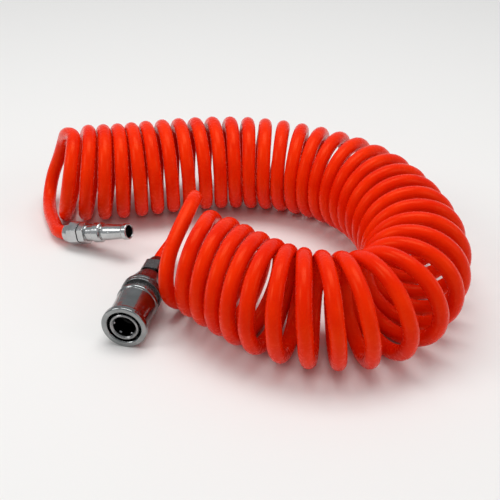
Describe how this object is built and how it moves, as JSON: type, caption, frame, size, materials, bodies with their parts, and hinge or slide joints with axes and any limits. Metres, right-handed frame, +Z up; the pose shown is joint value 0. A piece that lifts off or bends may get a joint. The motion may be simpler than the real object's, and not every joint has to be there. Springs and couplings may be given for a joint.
{
  "type": "coiled air hose",
  "caption": "Coiled plastic air hose lying in a U, with a sleeve-release quick socket on one end and its plug on the other.",
  "frame": {"origin": "on the surface it lies on, below the middle of the box round the two couplings", "axes": "+Z up; +Y along the socket's axis from its open mouth towards its hose, so the mouth faces -Y; +X towards the side where the coil bends round"},
  "size_m": [0.2772, 0.2147, 0.06],
  "materials": {
    "hose_polyurethane": "glossy orange-red",
    "chromed_sleeve": "bright plated",
    "chromed_plug": "bright plated",
    "nickel_steel": "nickel plated, turned",
    "ball_steel": "polished",
    "spring_steel": "drawn wire",
    "brass": "turned",
    "black_rubber": "matt"
  },
  "bodies": {
    "socket": {"socket_body": "nickel_steel", "sleeve_spring": "spring_steel", "sleeve_stop_ring": "spring_steel", "nose_seal": "black_rubber", "valve_spring": "spring_steel", "adapter_gasket": "black_rubber", "socket_adapter": "nickel_steel", "socket_nut": "nickel_steel", "hose_tail_socket": "hose_polyurethane", "hose_coil": "hose_polyurethane", "hose_tail_plug": "hose_polyurethane", "plug_body": "chromed_plug", "plug_nut": "chromed_plug"},
    "sleeve": {"release_sleeve": "chromed_sleeve"},
    "valve": {"valve_poppet": "brass"},
    "ball_1": {"locking_ball_1": "ball_steel"},
    "ball_2": {"locking_ball_2": "ball_steel"},
    "ball_3": {"locking_ball_3": "ball_steel"},
    "ball_4": {"locking_ball_4": "ball_steel"},
    "ball_5": {"locking_ball_5": "ball_steel"},
    "ball_6": {"locking_ball_6": "ball_steel"}
  },
  "joints": [
    {"name": "sleeve_slide", "type": "slide", "parent": "socket", "child": "sleeve", "axis": [0, 1, 0], "range_m": [0, 0.004], "stiffness_N_per_m": 800, "springref_m": -0.004, "deforming": ["sleeve_spring"]},
    {"name": "ball_1_slide", "type": "slide", "parent": "socket", "child": "ball_1", "axis": [1, 0, 0], "range_m": [0, 0.00082]},
    {"name": "ball_2_slide", "type": "slide", "parent": "socket", "child": "ball_2", "axis": [0.5, 0, -0.866], "range_m": [0, 0.00082]},
    {"name": "ball_3_slide", "type": "slide", "parent": "socket", "child": "ball_3", "axis": [-0.5, 0, -0.866], "range_m": [0, 0.00082]},
    {"name": "ball_4_slide", "type": "slide", "parent": "socket", "child": "ball_4", "axis": [-1, 0, 0], "range_m": [0, 0.00082]},
    {"name": "ball_5_slide", "type": "slide", "parent": "socket", "child": "ball_5", "axis": [-0.5, 0, 0.866], "range_m": [0, 0.00082]},
    {"name": "ball_6_slide", "type": "slide", "parent": "socket", "child": "ball_6", "axis": [0.5, 0, 0.866], "range_m": [0, 0.00082]},
    {"name": "valve_slide", "type": "slide", "parent": "socket", "child": "valve", "axis": [0, 1, 0], "range_m": [0, 0.005], "stiffness_N_per_m": 250, "springref_m": -0.003, "deforming": ["valve_spring"]}
  ],
  "couplings": [
    {"joint": "ball_1_slide", "follows": "sleeve_slide", "ratio": 0.205},
    {"joint": "ball_2_slide", "follows": "sleeve_slide", "ratio": 0.205},
    {"joint": "ball_3_slide", "follows": "sleeve_slide", "ratio": 0.205},
    {"joint": "ball_4_slide", "follows": "sleeve_slide", "ratio": 0.205},
    {"joint": "ball_5_slide", "follows": "sleeve_slide", "ratio": 0.205},
    {"joint": "ball_6_slide", "follows": "sleeve_slide", "ratio": 0.205}
  ]
}
